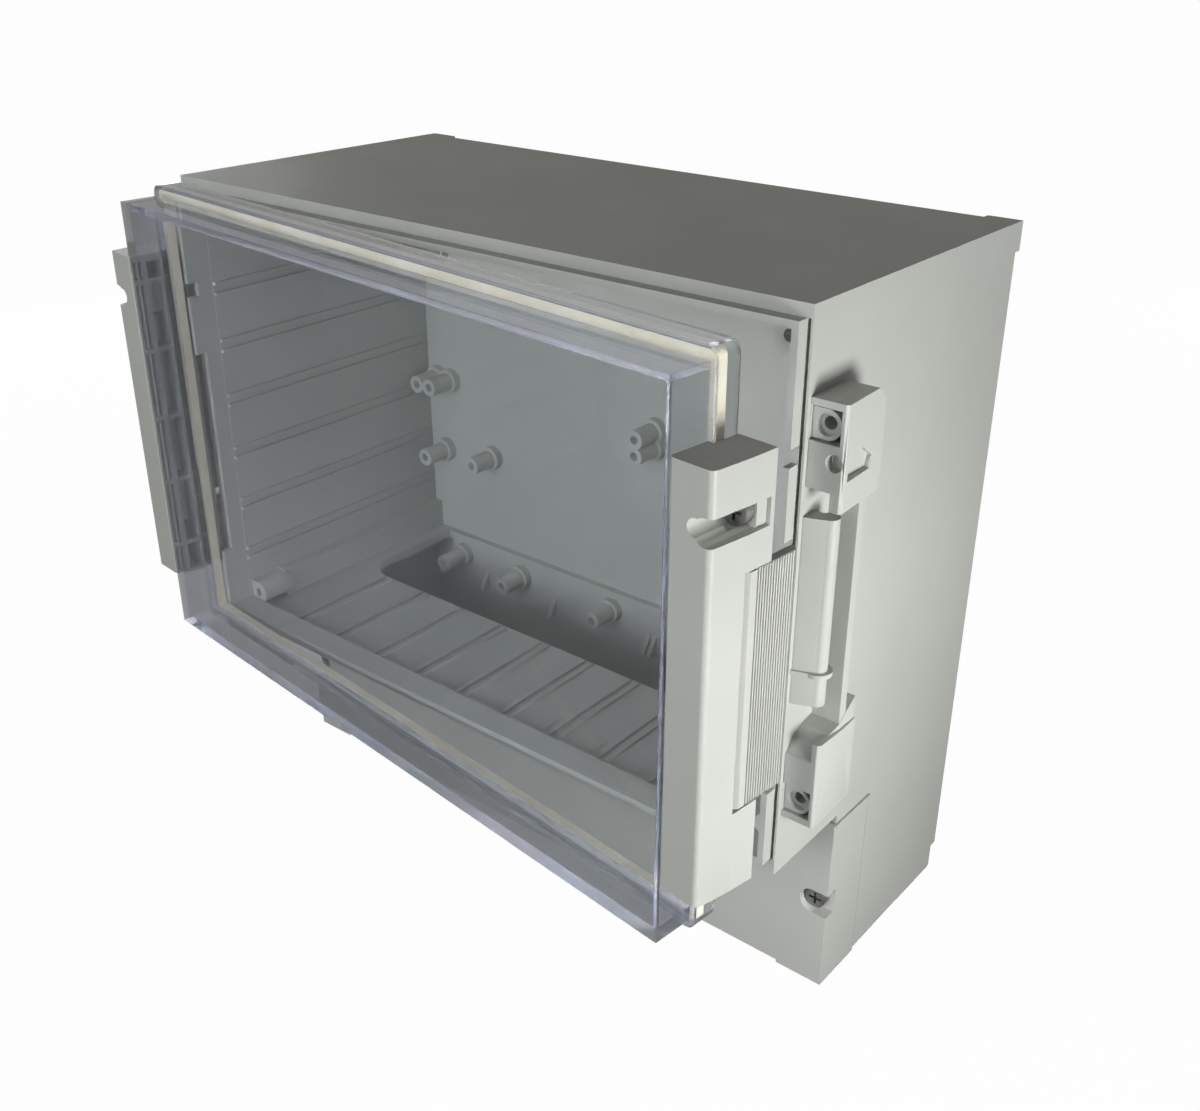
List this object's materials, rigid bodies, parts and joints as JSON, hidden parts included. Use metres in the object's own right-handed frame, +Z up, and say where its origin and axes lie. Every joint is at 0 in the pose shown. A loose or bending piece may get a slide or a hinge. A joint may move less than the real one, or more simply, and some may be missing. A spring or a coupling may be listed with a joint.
{
  "type": "hinged enclosure",
  "caption": "Wall-mount instrument enclosure: a moulded base with a hinged clear lid, sprung latch flaps, captive closure screws and a removable terminal compartment cover.",
  "frame": {"origin": "centre of the back in the wall plane, which is also the centre of the four wall fixing holes", "axes": "+Z up, +X to the right as seen from the front, +Y to the rear into the wall; the lid is on the -Y side"},
  "size_m": [0.1839, 0.1134, 0.1584],
  "materials": {
    "base_plastic": "fine moulded texture",
    "bar_plastic": "fine moulded texture",
    "clear_polycarbonate": "clear moulded polycarbonate",
    "seal_foam": "foamed-in-place gasket",
    "zinc": "zinc plated"
  },
  "bodies": {
    "base": {"base_shell": "base_plastic", "partition_shelf": "base_plastic", "bracket_left": "base_plastic", "bracket_right": "base_plastic", "hinge_rail_left": "base_plastic", "catch_rail_right": "base_plastic", "bracket_tubes_left": "base_plastic", "bracket_tubes_right": "base_plastic"},
    "terminal_cover": {"terminal_cover": "base_plastic"},
    "terminal_screw_left": {"terminal_screw_left": "zinc"},
    "terminal_screw_right": {"terminal_screw_right": "zinc"},
    "lid": {"lid_window": "clear_polycarbonate", "lid_gasket": "seal_foam", "hinge_bar_left": "bar_plastic", "closure_bar_right": "bar_plastic", "flap_pin_left": "zinc", "flap_pin_right": "zinc", "closure_bush_left": "bar_plastic", "closure_bush_right": "bar_plastic", "hinge_flap_left": "bar_plastic"},
    "latch_flap": {"latch_flap_right": "bar_plastic"},
    "closure_screw_left": {"closure_screw_left": "zinc"},
    "closure_screw_right": {"closure_screw_right": "zinc"}
  },
  "joints": [
    {"name": "lid_hinge", "type": "hinge", "parent": "base", "child": "lid", "pos_m": [-0.0866, -0.0754, 0.0247], "axis": [0, 0, -1], "range_deg": [-6.2, 84]},
    {"name": "latch_flap_pivot", "type": "hinge", "parent": "lid", "child": "latch_flap", "pos_m": [0.08782, -0.10315, 0.0217], "axis": [0, 0, -1], "range_deg": [0, 12], "stiffness_Nm_per_rad": 0.05},
    {"name": "closure_screw_right_turn", "type": "hinge", "parent": "lid", "child": "closure_screw_right", "pos_m": [0.08619, -0.10242, 0.0532], "axis": [0.108, 0.9942, 0], "continuous": true},
    {"name": "closure_screw_left_turn", "type": "hinge", "parent": "lid", "child": "closure_screw_left", "pos_m": [-0.08898, -0.08339, 0.0532], "axis": [0.108, 0.9942, 0], "continuous": true},
    {"name": "terminal_cover_slide", "type": "slide", "parent": "base", "child": "terminal_cover", "axis": [0, -1, 0], "range_m": [0, 0.04]},
    {"name": "terminal_screw_right_turn", "type": "hinge", "parent": "terminal_cover", "child": "terminal_screw_right", "pos_m": [0.0792, -0.0516, -0.0576], "axis": [0, 1, 0], "continuous": true},
    {"name": "terminal_screw_left_turn", "type": "hinge", "parent": "terminal_cover", "child": "terminal_screw_left", "pos_m": [-0.0792, -0.0516, -0.0576], "axis": [0, 1, 0], "continuous": true}
  ]
}
